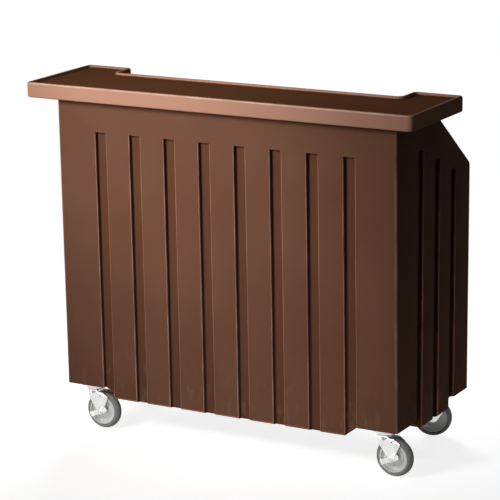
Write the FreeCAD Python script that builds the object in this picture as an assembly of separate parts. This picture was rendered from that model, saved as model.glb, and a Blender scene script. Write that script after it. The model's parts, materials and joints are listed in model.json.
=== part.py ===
import FreeCAD, Part
import math
import os

# Portable serving bar on swivel casters, in millimetres
# X runs along the counter, Y from the guests towards the server, Z up from the floor
# The origin is on the floor, at the middle of the bar's box

Vector = FreeCAD.Vector
UP = Vector(0, 0, 1)
ALONG = Vector(1, 0, 0)
BACK = Vector(0, 1, 0)
SIDES = (-1, 1)

# Overall sizes
counter_length = 1384.0
overall_height = 1190.0
front_overhang = 62.0
end_overhang = 81.0
body_depth = 568.0
caster_height = 160.0
cut_overrun = 40.0
running_gap = 0.3
shaft_clearance = 0.05

# Counter top
counter_thickness = 50.0
counter_wing_depth = 387.0
counter_notch_depth = 97.0
counter_notch_width = 1036.0
counter_corner_radius = 20.0
counter_notch_radius = 18.0
counter_edge_radius = 6.0
lip_width = 13.0
lip_height = 8.0
lip_edge_radius = 3.0
lip_foot_radius = 4.0

# Moulded body
wall_thickness = 32.0
front_draft = 15.0
floor_thickness = 40.0
skirt_drop = 34.0
body_edge_radius = 10.0
inner_edge_radius = 6.0
cavity_corner_radius = 20.0
cavity_floor_radius = 12.0
slope_run = 280.0
slope_drop = 214.0
slope_corner_radius = 25.0

# Flutes in the front and the ends
flute_width = 40.0
flute_floor_width = 36.0
flute_depth = 15.0
flute_edge_radius = 4.5
flute_root_radius = 4.0
flute_end_radius = 3.5
front_flute_count = 8
front_flute_pitch = 128.2
front_flute_drop = 108.0
end_flute_count = 3
end_flute_pitch = 125.0
end_flute_inset = 183.0
end_flute_drop = 105.0
end_flute_step = 52.0

# Raised corners over the casters
pocket_length = 144.0
front_pocket_depth = 146.0
rear_pocket_depth = 116.0
pocket_ramp = 42.0

# Work deck and the angle cleats under it and under the shelf
counter_to_deck = 240.0
deck_thickness = 28.0
deck_depth = 410.0
deck_gap = 1.0
tub_foot_radius = 4.0
cleat_leg = 30.0
cleat_thickness = 4.0
cleat_end_gap = 24.0
cleat_screw_shares = (0.12, 0.5, 0.88)

# Screws
screw_radius = 2.5
screw_length = 18.0
screw_head_radius = 4.8
screw_head_height = 2.6
screw_crown_radius = 1.2
hexagon_sides = 6

# Counter brackets
bracket_leg = 40.0
bracket_width = 36.0
bracket_thickness = 3.0
bracket_place_shares = (-0.8, -0.27, 0.27, 0.8)

# Ice bin, its jacket and its drain hole
bin_length = 590.0
bin_width = 280.0
bin_depth = 300.0
bin_wall = 4.0
bin_flange = 18.0
bin_flange_thickness = 3.0
bin_corner_radius = 8.0
bin_hole_gap = 9.0
bin_rear_gap = 55.0
jacket_thickness = 25.0
jacket_gap = 0.5
jacket_edge_radius = 12.0

# Bottle wells
well_bin_gap = 44.0
well_width = 300.0
well_depth = 160.0
well_wall = 3.0
well_flange = 14.0
well_flange_thickness = 3.0
well_corner_radius = 10.0
well_hole_gap = 6.0
well_end_gap = 40.0

# Sliding covers and their tracks
track_gap = 2.0
track_end_reach = 11.0
track_width = 18.0
track_wall = 3.0
track_web = 3.0
track_stop = 12.0
track_groove = 6.0
cover_thickness = 5.0
cover_side_gap = 1.0
cover_end_gap = 0.5
cover_overlap = 24.0
cover_corner_radius = 6.0
finger_notch_width = 96.0
finger_notch_depth = 43.0
finger_notch_radius = 8.0

# Drain and ball valve
strainer_radius = 32.0
strainer_thickness = 2.0
strainer_hole_radius = 2.2
strainer_hole_circle = 7.0
strainer_hole_count = 6
tail_radius = 14.0
tail_bore = 10.0
tail_reach = 28.0
drain_nut_radius = 24.0
drain_nut_height = 10.0
drain_nut_sides = 8
pipe_bend_radius = 32.0
pipe_drop = 8.0
socket_wall = 3.5
socket_length = 12.0
valve_rear_gap = 80.0
valve_radius = 18.0
valve_length = 42.0
valve_boss_radius = 8.0
valve_boss_height = 27.0
valve_ball_radius = 13.0
valve_edge_radius = 3.0
stem_radius = 4.0
spigot_radius = 13.2
spigot_length = 20.0
handle_length = 78.0
handle_width = 14.0
handle_thickness = 4.0
handle_hub_radius = 10.0
handle_hub_height = 9.0
handle_grip_drop = 8.0

# Speed rail and its hanger
rail_length = 580.0
rail_depth = 95.0
rail_height = 150.0
rail_front_height = 72.0
rail_sheet = 2.0
rail_hem_radius = 4.0
rail_corner_radius = 18.0
hook_width = 80.0
hook_place_share = 0.7
hook_drop = 11.0
hanger_sheet = 2.5
hanger_drop = 2.0
hanger_height = 24.0
hanger_channel = 4.0
hanger_lip_height = 14.0
hanger_screw_shares = (-0.95, -0.3, 0.3, 0.95)
hook_side_gap = 0.7

# Storage shelf
shelf_place_share = 0.82
shelf_thickness = 18.0
shelf_depth = 430.0
shelf_edge_radius = 4.0

# Casters
front_caster_end_inset = 70.0
rear_caster_end_inset = 60.0
front_caster_inset = 60.0
rear_caster_inset = 59.0
front_caster_yaw = -1.0
rear_right_yaw = 200.0
rear_left_yaw = 188.0
wheel_radius = 63.5
caster_trail = 36.0
tyre_width = 32.0
tyre_depth = 15.5
tyre_shoulder_drop = 4.0
tyre_shoulder_inset = 4.0
tyre_seat_inset = 1.5
rim_width = 28.0
rim_thickness = 5.0
rim_ring_width = 4.5
rim_ring_depth = 1.5
web_thickness = 9.0
web_ring_radius = 29.0
web_ring_height = 2.0
web_ring_width = 3.0
hub_radius = 15.0
hub_length = 35.0
sleeve_radius = 9.5
axle_radius = 6.0
axle_head_radius = 10.5
axle_head_height = 7.0
axle_end_reach = 3.0
fork_sheet = 3.5
fork_side_gap = 4.0
fork_bend_radius = 6.0
fork_top_drop = 23.5
fork_crown_lead = 18.0
fork_crown_tail = 19.0
fork_step = 7.0
fork_heel_reach = 42.0
fork_shoulder_reach = 64.0
fork_shoulder_drop = 22.5
fork_waist_rise = 17.0
fork_waist_reach = 14.0
fork_cheek_reach = 12.0
fork_cheek_drop = 32.0
fork_foot_radius = 12.5
fork_corner_radius = 5.0
fork_hole_radius = 2.6
fork_hole_reach = 34.0
fork_hole_drop = 19.5
plate_length = 96.0
plate_width = 60.0
plate_thickness = 4.0
plate_corner_radius = 8.0
plate_bolt_length = 73.0
plate_bolt_width = 36.0
race_radius = 28.0
race_lip_gap = 1.5
race_wall = 4.0
ball_radius = 3.5
ball_gap = 0.1
ball_count = 12
kingpin_radius = 6.0
kingpin_head_radius = 10.0
kingpin_head_height = 3.5
bolt_radius = 4.0
bolt_head_radius = 7.2
bolt_head_height = 5.3
bolt_length = 20.0
insert_radius = 5.6
insert_length = 18.0

# Brake levers of the front casters
lever_length = 62.0
lever_width = 17.0
lever_sheet = 3.0
lever_pivot_share = 0.6
lever_tilt = 22.0
lever_tab_depth = 12.0
lever_boss_radius = 11.0
lever_boss_height = 2.0

# Places that follow from the sizes
counter_front = -(front_overhang + body_depth) / 2
body_front = counter_front + front_overhang
body_foot_front = body_front + front_draft
body_rear = body_front + body_depth
body_length = counter_length - 2 * end_overhang
body_half = body_length / 2
body_top = overall_height - counter_thickness
inner_half = body_half - wall_thickness
inner_front = body_foot_front + wall_thickness
floor_top = caster_height + floor_thickness
skirt_height = caster_height - skirt_drop
wing_rear = counter_front + counter_wing_depth
notch_rear = wing_rear - counter_notch_depth
deck_front = inner_front + deck_gap
deck_rear = deck_front + deck_depth
deck_height = body_top - counter_to_deck
deck_bottom = deck_height - deck_thickness
bin_rear = deck_rear - bin_rear_gap
bin_front = bin_rear - bin_width
bin_half = bin_length / 2
bin_centre = (bin_rear + bin_front) / 2
bin_floor = deck_height - bin_depth
jacket_bottom = bin_floor - bin_wall - jacket_thickness
well_outer_x = inner_half - well_end_gap
well_inner_x = bin_half + well_bin_gap
well_rear = bin_rear
well_front = well_rear - well_width
pipe_top = jacket_bottom - tail_reach
pipe_level = pipe_top - pipe_drop - pipe_bend_radius
shelf_height = floor_top + shelf_place_share * (pipe_level - valve_radius - floor_top)
shelf_bottom = shelf_height - shelf_thickness
axle_height = wheel_radius
fork_top = caster_height - fork_top_drop
fork_inside = tyre_width / 2 + fork_side_gap
fork_outside = fork_inside + fork_sheet
panel_screw_sink = screw_head_height + running_gap


def box(x_low, x_high, y_low, y_high, z_low, z_high):
    corner = Vector(x_low, y_low, z_low)
    return Part.makeBox(x_high - x_low, y_high - y_low, z_high - z_low, corner)


def rod(radius, start, direction, length):
    return Part.makeCylinder(radius, length, start, direction)


def fuse(shapes):
    return shapes[0].multiFuse(shapes[1:]).removeSplitter()


def cut(shape, tools):
    return shape.cut(Part.makeCompound(tools)).removeSplitter()


def rounded_wire(corners):
    """Closed flat outline of (point, radius) corners, each rounded by its own radius."""
    points = [point for point, radius in corners]
    entries = []
    exits = []
    bends = []
    for index, (point, radius) in enumerate(corners):
        before = points[index - 1].sub(point).normalize()
        after = points[(index + 1) % len(points)].sub(point).normalize()
        half_angle = before.getAngle(after) / 2
        reach = radius / math.tan(half_angle)
        rise = radius / math.sin(half_angle) - radius
        entries.append(point + before * reach)
        exits.append(point + after * reach)
        bends.append(point + (before + after).normalize() * rise)
    edges = []
    for index, (point, radius) in enumerate(corners):
        if radius > 0:
            edges.append(Part.Arc(entries[index], bends[index], exits[index]).toShape())
        edges.append(Part.makeLine(exits[index], entries[(index + 1) % len(points)]))
    return Part.Wire(edges)


def extrude(corners, travel):
    return Part.Face(rounded_wire(corners)).extrude(travel)


def rounded_box(x_low, x_high, y_low, y_high, z_low, z_high, radius):
    """Upright box with rounded upright edges."""
    places = ((x_low, y_low), (x_high, y_low), (x_high, y_high), (x_low, y_high))
    corners = [(Vector(x, y, z_low), radius) for x, y in places]
    return extrude(corners, UP * (z_high - z_low))


def edges_where(shape, test):
    return [edge for edge in shape.Edges if test(edge)]


def at_height(edge, height):
    box_of_edge = edge.BoundBox
    return math.isclose(box_of_edge.ZMin, height) and math.isclose(box_of_edge.ZMax, height)


def ring_of_points(count, radius, centre):
    turn = 2 * math.pi / count
    angles = [i * turn for i in range(count)]
    return [centre + Vector(radius * math.cos(a), radius * math.sin(a), 0) for a in angles]


def prism(sides, radius, start, height):
    """Upright prism on a regular polygon, as on a nut or a bolt head."""
    points = ring_of_points(sides, radius, start)
    return Part.Face(Part.makePolygon(points + points[:1])).extrude(UP * height)


def mirrored(shape):
    """The same shape on the other end of the bar."""
    return shape.mirror(Vector(0, 0, 0), ALONG)


def screw(seat, direction, length=screw_length):
    """Pan-head screw whose head sits on the seat and whose shank runs along the direction."""
    head = rod(screw_head_radius, seat, -direction, screw_head_height)
    rim = edges_where(head, lambda edge: edge.CenterOfMass.sub(seat).dot(direction) < -screw_head_height / 2)
    rim = [edge for edge in rim if len(edge.Vertexes) == 1]
    head = head.makeFillet(screw_crown_radius, rim)
    return head.fuse(rod(screw_radius, seat, direction, length)).removeSplitter()


def screw_hole(seat, direction, length=screw_length):
    start = seat - direction * cut_overrun
    return rod(screw_radius + shaft_clearance, start, direction, cut_overrun + length)


def sunk_head(seat):
    """Counterbore above the seat of an upright screw."""
    return rod(screw_head_radius + running_gap, seat, UP, cut_overrun)


def panel_screw_length(thickness):
    """From a sunk seat through the panel and the leg of the cleat below it."""
    return thickness - panel_screw_sink + cleat_thickness


def save(name, shapes):
    shape = shapes[0] if len(shapes) == 1 else Part.makeCompound(shapes)
    shape.exportStep(os.path.join("parts", name + ".step"))


# Counter top

def counter_prism(inset, z_low, z_high):
    """Plan of the counter, drawn in by an inset, between two heights."""
    half = counter_length / 2 - inset
    front = counter_front + inset
    rear = wing_rear - inset
    notch_half = counter_notch_width / 2 + inset
    notch = notch_rear - inset
    outer = counter_corner_radius - inset / 2
    wing = counter_notch_radius - inset / 2
    inner = counter_notch_radius + inset
    plan = (
        (-half, front, outer), (half, front, outer), (half, rear, outer), (notch_half, rear, wing),
        (notch_half, notch, inner), (-notch_half, notch, inner),
        (-notch_half, rear, wing), (-half, rear, outer),
    )
    corners = [(Vector(x, y, z_low), radius) for x, y, radius in plan]
    return extrude(corners, UP * (z_high - z_low))


def counter_top(screw_seats):
    slab = counter_prism(0, body_top, overall_height)
    rims = edges_where(slab, lambda e: at_height(e, overall_height) or at_height(e, body_top))
    slab = slab.makeFillet(counter_edge_radius, rims)
    recess_floor = overall_height - lip_height
    recess = counter_prism(lip_width, recess_floor, overall_height + cut_overrun)
    recess = recess.makeFillet(lip_foot_radius, edges_where(recess, lambda e: at_height(e, recess_floor)))
    slab = slab.cut(recess)
    mouth = counter_prism(lip_width, overall_height - counter_edge_radius, overall_height)
    mouth_lines = [edge.CenterOfMass for edge in mouth.Edges if at_height(edge, overall_height)]
    inner_rim = edges_where(
        slab, lambda e: any(e.CenterOfMass.isEqual(point, running_gap) for point in mouth_lines)
    )
    slab = slab.makeFillet(lip_edge_radius, inner_rim)
    return cut(slab, [screw_hole(seat, direction) for seat, direction in screw_seats if direction == UP])


# Moulded body

def front_flute(x_centre):
    """Cutter for one front flute: its floor lies parallel to the leaning front wall."""
    half = flute_width / 2
    floor_half = flute_floor_width / 2
    flare = half + flute_edge_radius
    z_low = skirt_height - cut_overrun
    z_high = body_top - front_flute_drop
    lean = front_draft / (body_top - skirt_height)
    mouth = body_foot_front + lean * (skirt_height - z_low)
    section = (
        (-flare, -cut_overrun, 0), (flare, -cut_overrun, 0), (flare, 0, 0), (half, 0, flute_edge_radius),
        (floor_half, flute_depth, flute_root_radius), (-floor_half, flute_depth, flute_root_radius),
        (-half, 0, flute_edge_radius), (-flare, 0, 0),
    )
    corners = [(Vector(x_centre + x, mouth + depth, z_low), radius) for x, depth, radius in section]
    cutter = extrude(corners, Vector(0, -lean * (z_high - z_low), z_high - z_low))
    mouth_end = mouth - lean * (z_high - z_low)
    upper_end = edges_where(
        cutter, lambda e: at_height(e, z_high) and e.CenterOfMass.y > mouth_end + flute_edge_radius
    )
    return cutter.makeFillet(flute_end_radius, upper_end)


def end_flute(y_centre, z_high):
    """Cutter for one flute in the right end wall."""
    half = flute_width / 2
    floor_half = flute_floor_width / 2
    flare = half + flute_edge_radius
    z_low = skirt_height - cut_overrun
    section = (
        (-flare, -cut_overrun, 0), (-flare, 0, 0), (-half, 0, flute_edge_radius),
        (-floor_half, flute_depth, flute_root_radius), (floor_half, flute_depth, flute_root_radius),
        (half, 0, flute_edge_radius), (flare, 0, 0), (flare, -cut_overrun, 0),
    )
    corners = [(Vector(body_half - depth, y_centre + y, z_low), radius) for y, depth, radius in section]
    cutter = extrude(corners, UP * (z_high - z_low))
    upper_end = edges_where(
        cutter, lambda e: at_height(e, z_high) and e.CenterOfMass.x < body_half - flute_edge_radius
    )
    return cutter.makeFillet(flute_end_radius, upper_end)


def corner_pocket(y_open, y_inner, y_sense):
    """Cutter for one raised corner at the right end, with ramps on its two inner sides."""
    slope = pocket_ramp / skirt_drop
    wires = []
    for drop in (0, skirt_drop + cut_overrun):
        x_inner = body_half - pocket_length - slope * drop
        y_ramp = y_inner + y_sense * slope * drop
        x_outer = body_half + cut_overrun
        y_outer = y_open - y_sense * cut_overrun
        z = caster_height - drop
        ring = [Vector(x_inner, y_ramp, z), Vector(x_outer, y_ramp, z), Vector(x_outer, y_outer, z)]
        ring.append(Vector(x_inner, y_outer, z))
        wires.append(Part.makePolygon(ring + ring[:1]))
    return Part.makeLoft(wires, True, True)


def plan_in_cavity(gap, rear, z_low):
    """Plan that follows the inside of the body at a gap, from the rounded front corners to a rear line."""
    half = inner_half - gap
    front = inner_front + gap
    corner = cavity_corner_radius
    plan = ((-half, front, corner), (half, front, corner), (half, rear, 0), (-half, rear, 0))
    return [(Vector(x, y, z_low), radius) for x, y, radius in plan]


def body_cavity():
    """Room inside the body, open at the rear and the top, with a rounded foot."""
    plan = plan_in_cavity(0, body_rear + cut_overrun, floor_top)
    room = extrude(plan, UP * (body_top + cut_overrun - floor_top))
    foot = edges_where(room, lambda e: at_height(e, floor_top) and e.CenterOfMass.y < body_rear)
    return room.makeFillet(cavity_floor_radius, foot)


def body_shell(screw_seats, insert_seats):
    profile = (
        (body_foot_front, skirt_height, 0), (body_front, body_top, 0), (body_rear - slope_run, body_top, 0),
        (body_rear, body_top - slope_drop, slope_corner_radius), (body_rear, skirt_height, 0),
    )
    corners = [(Vector(-body_half, y, z), radius) for y, z, radius in profile]
    shell = extrude(corners, ALONG * body_length)

    def is_outer_edge(edge):
        middle = edge.CenterOfMass
        return math.isclose(abs(middle.x), body_half) and middle.z < body_top or at_height(edge, skirt_height)

    def is_inner_rim(edge):
        middle = edge.CenterOfMass
        on_wall = math.isclose(abs(middle.x), inner_half)
        on_sill = math.isclose(middle.z, floor_top) and math.isclose(middle.y, body_rear)
        return on_sill or on_wall and middle.y > inner_front + cavity_corner_radius and middle.z < body_top

    shell = shell.makeFillet(body_edge_radius, edges_where(shell, is_outer_edge))
    shell = shell.cut(body_cavity())
    shell = shell.makeFillet(inner_edge_radius, edges_where(shell, is_inner_rim))
    tools = []
    first = -(front_flute_count - 1) / 2
    for index in range(front_flute_count):
        tools.append(front_flute((first + index) * front_flute_pitch))
    right_cuts = [
        corner_pocket(body_front, body_foot_front + front_pocket_depth, 1),
        corner_pocket(body_rear, body_rear - rear_pocket_depth, -1),
    ]
    for index in range(end_flute_count):
        y_centre = body_front + end_flute_inset + index * end_flute_pitch
        right_cuts.append(end_flute(y_centre, body_top - end_flute_drop - index * end_flute_step))
    tools += right_cuts + [mirrored(tool) for tool in right_cuts]
    tools += [screw_hole(seat, direction) for seat, direction in screw_seats if direction != UP]
    tools += [rod(insert_radius, seat, UP, insert_length) for seat in insert_seats]
    return cut(shell, tools)


# Brackets and cleats

def angle_strip(length, leg, thickness):
    """Angle along Y from the origin: one leg on the wall at x = 0, one leg under z = 0, towards -X and -Z."""
    corners = [
        (Vector(0, 0, 0), 0), (Vector(-leg, 0, 0), 0), (Vector(-leg, 0, -thickness), 0),
        (Vector(-thickness, 0, -thickness), 0), (Vector(-thickness, 0, -leg), 0), (Vector(0, 0, -leg), 0),
    ]
    return extrude(corners, BACK * length)


def counter_brackets():
    """Angles between the front wall and the counter, with the seats of their screws."""
    brackets = []
    seats = []
    for share in bracket_place_shares:
        middle = Vector(share * inner_half, inner_front, body_top)
        bracket = angle_strip(bracket_width, bracket_leg, bracket_thickness)
        bracket.rotate(Vector(0, 0, 0), UP, -90)
        bracket.translate(middle)
        bracket.translate(Vector(-bracket_width / 2, 0, 0))
        up_seat = middle + Vector(0, bracket_leg / 2, -bracket_thickness)
        wall_seat = middle + Vector(0, bracket_thickness, -bracket_leg / 2)
        holes = [screw_hole(up_seat, UP), screw_hole(wall_seat, -BACK)]
        brackets.append(cut(bracket, holes))
        seats += [(up_seat, UP), (wall_seat, -BACK)]
    return brackets, seats


def cleat_pair(top, depth):
    """Two angles on the end walls under a panel, with the seats of their wall and panel screws."""
    length = depth - 2 * cleat_end_gap
    start = deck_front + cleat_end_gap
    cleat = angle_strip(length, cleat_leg, cleat_thickness)
    cleat.translate(Vector(inner_half, start, top))
    wall_seats = []
    panel_places = []
    for share in cleat_screw_shares:
        y = start + share * length
        wall_seats.append((Vector(inner_half - cleat_thickness, y, top - cleat_leg / 2), ALONG))
        panel_places.append(Vector(inner_half - cleat_leg / 2, y, top))
    cleat = cut(cleat, [screw_hole(seat, direction) for seat, direction in wall_seats])
    return cleat, wall_seats, panel_places


# Work deck

def cleat_holes(seats, thickness):
    """Screw holes through a panel and on through the cleat under it."""
    length = panel_screw_length(thickness)
    return [screw_hole(seat, direction, length) for seat, direction in seats]


def panel_holes(seats, thickness):
    """Screw holes through a panel, with sunk heads."""
    return cleat_holes(seats, thickness) + [sunk_head(seat) for seat, _ in seats]


def tub(x_low, x_high, y_low, y_high, depth, wall, flange, flange_thickness, radius):
    """Drop-in tub whose flange rests on the deck."""
    floor = deck_height - depth
    rim = deck_height + flange_thickness
    outside = rounded_box(
        x_low - wall, x_high + wall, y_low - wall, y_high + wall, floor - wall, rim, radius + wall
    )
    collar = rounded_box(
        x_low - flange, x_high + flange, y_low - flange, y_high + flange, deck_height, rim, radius + flange
    )
    inside = rounded_box(x_low, x_high, y_low, y_high, floor, rim + cut_overrun, radius)
    foot = edges_where(inside, lambda edge: at_height(edge, floor))
    inside = inside.makeFillet(tub_foot_radius, foot)
    return outside.fuse(collar).cut(inside).removeSplitter()


def tub_hole(x_low, x_high, y_low, y_high, play, radius):
    """Hole in the deck, with play all round the inside of a tub."""
    return rounded_box(
        x_low - play, x_high + play, y_low - play, y_high + play,
        deck_bottom - cut_overrun, deck_height + cut_overrun, radius + play,
    )


def work_deck(screw_seats, panel_seats):
    deck = extrude(plan_in_cavity(deck_gap, deck_rear, deck_bottom), UP * deck_thickness)
    well_play = well_wall + well_hole_gap
    right_hole = tub_hole(well_inner_x, well_outer_x, well_front, well_rear, well_play, well_corner_radius)
    tools = [
        tub_hole(-bin_half, bin_half, bin_front, bin_rear, bin_wall + bin_hole_gap, bin_corner_radius),
        right_hole,
        mirrored(right_hole),
    ]
    tools += [screw_hole(seat, direction) for seat, direction in screw_seats]
    tools += panel_holes(panel_seats, deck_thickness)
    return cut(deck, tools)


# Ice bin and drain

drain_place = Vector(0, bin_centre, bin_floor)


def ice_bin():
    liner = tub(
        -bin_half, bin_half, bin_front, bin_rear, bin_depth, bin_wall, bin_flange,
        bin_flange_thickness, bin_corner_radius,
    )
    hole = rod(tail_radius + shaft_clearance, drain_place - UP * cut_overrun, UP, 2 * cut_overrun)
    return cut(liner, [hole])


def bin_jacket():
    reach = bin_wall + jacket_gap
    shell = reach + jacket_thickness
    jacket = rounded_box(
        -bin_half - shell, bin_half + shell, bin_front - shell, bin_rear + shell,
        jacket_bottom, deck_bottom, bin_corner_radius + shell,
    )
    foot = edges_where(jacket, lambda edge: at_height(edge, jacket_bottom))
    jacket = jacket.makeFillet(jacket_edge_radius, foot)
    room = rounded_box(
        -bin_half - reach, bin_half + reach, bin_front - reach, bin_rear + reach,
        bin_floor - bin_wall, deck_bottom + cut_overrun, bin_corner_radius + reach,
    )
    hole_start = Vector(drain_place.x, drain_place.y, jacket_bottom - cut_overrun)
    hole = rod(tail_radius + shaft_clearance, hole_start, UP, bin_floor - hole_start.z)
    return cut(jacket, [room, hole])


def drain_strainer():
    """Flanged strainer whose tail runs down through the bin and the jacket."""
    tail_end = jacket_bottom - tail_reach
    flange = rod(strainer_radius, drain_place, UP, strainer_thickness)
    tail_start = Vector(drain_place.x, drain_place.y, tail_end)
    tail = rod(tail_radius, tail_start, UP, bin_floor - tail_end)
    bore = rod(tail_bore, tail_start - UP * cut_overrun, UP, bin_floor - tail_end + cut_overrun)
    holes = [bore]
    for point in ring_of_points(strainer_hole_count, strainer_hole_circle, drain_place):
        holes.append(rod(strainer_hole_radius, point - UP * cut_overrun, UP, 2 * cut_overrun))
    return cut(flange.fuse(tail), holes)


def drain_nut():
    start = Vector(drain_place.x, drain_place.y, jacket_bottom - drain_nut_height)
    nut = prism(drain_nut_sides, drain_nut_radius, start, drain_nut_height)
    hole = rod(tail_radius + shaft_clearance, start - UP * cut_overrun, UP, 2 * cut_overrun)
    return cut(nut, [hole])


valve_middle = Vector(0, body_rear - valve_rear_gap, pipe_level)
valve_front = valve_middle.y - valve_length / 2
valve_back = valve_middle.y + valve_length / 2


def swept_rod(radius):
    """Round rod down from the drain and round to the valve."""
    start = Vector(drain_place.x, drain_place.y, pipe_top)
    bend_start = start - UP * pipe_drop
    bend_end = bend_start + Vector(0, pipe_bend_radius, -pipe_bend_radius)
    bend_middle = bend_start + Vector(
        0, pipe_bend_radius * (1 - math.cos(math.pi / 4)), -pipe_bend_radius * math.sin(math.pi / 4)
    )
    path = Part.Wire([
        Part.makeLine(start, bend_start),
        Part.Arc(bend_start, bend_middle, bend_end).toShape(),
        Part.makeLine(bend_end, Vector(drain_place.x, valve_front, pipe_level)),
    ])
    ring = Part.Wire([Part.makeCircle(radius, start, UP)])
    return path.makePipeShell([ring], True, False)


def drain_pipe():
    socket_start = Vector(drain_place.x, drain_place.y, pipe_top - pipe_drop)
    socket_height = pipe_drop + socket_length
    socket = rod(tail_radius + socket_wall, socket_start, UP, socket_height)
    socket_start.z = pipe_top
    socket_bore = rod(tail_radius + shaft_clearance, socket_start, UP, socket_length)
    return swept_rod(tail_radius).fuse(socket).cut(socket_bore).cut(swept_rod(tail_bore)).removeSplitter()


def drain_valve_body():
    body = rod(valve_radius, Vector(0, valve_front, pipe_level), BACK, valve_length)
    body = body.makeFillet(valve_edge_radius, [edge for edge in body.Edges if len(edge.Vertexes) == 1])
    inlet_start = Vector(0, valve_front - socket_length, pipe_level)
    inlet = rod(tail_radius + socket_wall, inlet_start, BACK, socket_length + valve_edge_radius)
    spigot = rod(spigot_radius, Vector(0, valve_back - valve_edge_radius, pipe_level), BACK,
                 spigot_length + valve_edge_radius)
    boss = rod(valve_boss_radius, valve_middle, UP, valve_boss_height)
    room = Part.makeSphere(valve_ball_radius + shaft_clearance, valve_middle)
    bore = rod(tail_bore, inlet_start, BACK, body_rear - inlet_start.y)
    socket = rod(tail_radius + shaft_clearance, inlet_start, BACK, socket_length)
    stem = rod(stem_radius + shaft_clearance, valve_middle, UP, valve_boss_height)
    return fuse([body, inlet, spigot, boss]).cut(room).cut(bore).cut(socket).cut(stem)


def drain_valve_ball():
    """Ball and stem in one piece, shown shut, with the ball's bore across the pipe."""
    ball = Part.makeSphere(valve_ball_radius, valve_middle)
    stem = rod(stem_radius, valve_middle, UP, valve_boss_height + running_gap + handle_hub_height)
    bore = rod(tail_bore, valve_middle - ALONG * valve_radius, ALONG, 2 * valve_radius)
    stem_root = rod(stem_radius, valve_middle + UP * tail_bore, UP, valve_ball_radius - tail_bore)
    return ball.fuse(stem).cut(bore).fuse(stem_root).removeSplitter()


def drain_valve_handle():
    """Lever across the pipe, stepped down to its grip."""
    base = valve_middle + UP * (valve_boss_height + running_gap)
    hub = rod(handle_hub_radius, base, UP, handle_hub_height)
    half = handle_width / 2
    arm = box(0, handle_length / 2, -half, half, handle_hub_height - handle_thickness, handle_hub_height)
    step_low = handle_hub_height - handle_thickness - handle_grip_drop
    grip = box(
        handle_length / 2 - handle_thickness, handle_length, -half, half,
        step_low, step_low + handle_thickness,
    )
    step = box(
        handle_length / 2 - handle_thickness, handle_length / 2, -half, half, step_low, handle_hub_height
    )
    lever = fuse([arm, step, grip])
    tip = edges_where(lever, lambda e: math.isclose(e.CenterOfMass.x, handle_length) and
                      abs(e.CenterOfMass.y) > half / 2)
    lever = lever.makeFillet(half / 2, tip)
    lever.translate(base)
    hole = rod(stem_radius + shaft_clearance, base, UP, handle_hub_height)
    return fuse([hub, lever]).cut(hole)


# Cover tracks and covers

track_half = bin_half + bin_flange + track_end_reach
track_rear = bin_rear + bin_flange + track_gap + track_width
track_front = bin_front - bin_flange - track_gap - track_width
groove_bottoms = (deck_height + track_web, deck_height + 2 * track_web + track_groove)
track_top = groove_bottoms[1] + track_groove + track_web


def track_screw_seats(y):
    """One sunk screw in the stop block at each end of a track."""
    x = track_half - track_stop / 2
    return [(Vector(side * x, y, groove_bottoms[0] + track_groove), -UP) for side in SIDES]


def cover_track(y_wall, sense):
    """Double-groove track along X with its back wall at y_wall and its grooves open towards -sense."""
    y_open = y_wall - sense * track_width
    bar = box(-track_half, track_half, min(y_wall, y_open), max(y_wall, y_open), deck_height, track_top)
    groove_wall = y_wall - sense * track_wall
    groove_mouth = y_open - sense * cut_overrun
    clear_half = track_half - track_stop
    grooves = [
        box(-clear_half, clear_half, min(groove_wall, groove_mouth), max(groove_wall, groove_mouth),
            bottom, bottom + track_groove)
        for bottom in groove_bottoms
    ]
    tools = list(grooves)
    for seat, direction in track_screw_seats(y_wall - sense * track_width / 2):
        tools.append(screw_hole(seat, direction))
        tools.append(sunk_head(seat))
    return cut(bar, tools)


def bin_cover(level, sense):
    """Half cover in one groove level, with a finger notch in its outer end."""
    outer = sense * (track_half - track_stop - cover_end_gap)
    inner = -sense * cover_overlap / 2
    bottom = groove_bottoms[level] + (track_groove - cover_thickness) / 2
    y_low = track_front + track_wall + cover_side_gap
    y_high = track_rear - track_wall - cover_side_gap
    notch_end = outer - sense * finger_notch_depth
    notch_low = (y_low + y_high - finger_notch_width) / 2
    notch_high = notch_low + finger_notch_width
    plan = (
        (inner, y_low, cover_corner_radius), (outer, y_low, cover_corner_radius),
        (outer, notch_low, cover_corner_radius), (notch_end, notch_low, finger_notch_radius),
        (notch_end, notch_high, finger_notch_radius), (outer, notch_high, cover_corner_radius),
        (outer, y_high, cover_corner_radius), (inner, y_high, cover_corner_radius),
    )
    corners = [(Vector(x, y, bottom), radius) for x, y, radius in plan]
    return extrude(corners, UP * cover_thickness)


# Speed rail

hanger_top = deck_height - hanger_drop
hanger_bottom = hanger_top - hanger_height
hanger_lip_front = deck_rear + hanger_sheet + hanger_channel
hanger_lip_rear = hanger_lip_front + hanger_sheet
hook_seat = hanger_bottom + hanger_lip_height
rail_front = hanger_lip_rear + hook_side_gap
rail_rear = rail_front + rail_depth
rail_top = hook_seat + rail_sheet
rail_bottom = rail_top - rail_height


def speed_rail_hanger(screw_seats):
    """Channel strip on the deck's rear edge that the rail's hooks drop into."""
    half = rail_length / 2
    strip = box(-half, half, deck_rear, deck_rear + hanger_sheet, hanger_bottom, hanger_top)
    arm = box(-half, half, deck_rear, hanger_lip_rear, hanger_bottom, hanger_bottom + hanger_sheet)
    lip = box(-half, half, hanger_lip_front, hanger_lip_rear, hanger_bottom, hook_seat)
    return cut(fuse([strip, arm, lip]), [screw_hole(seat, direction) for seat, direction in screw_seats])


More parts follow.
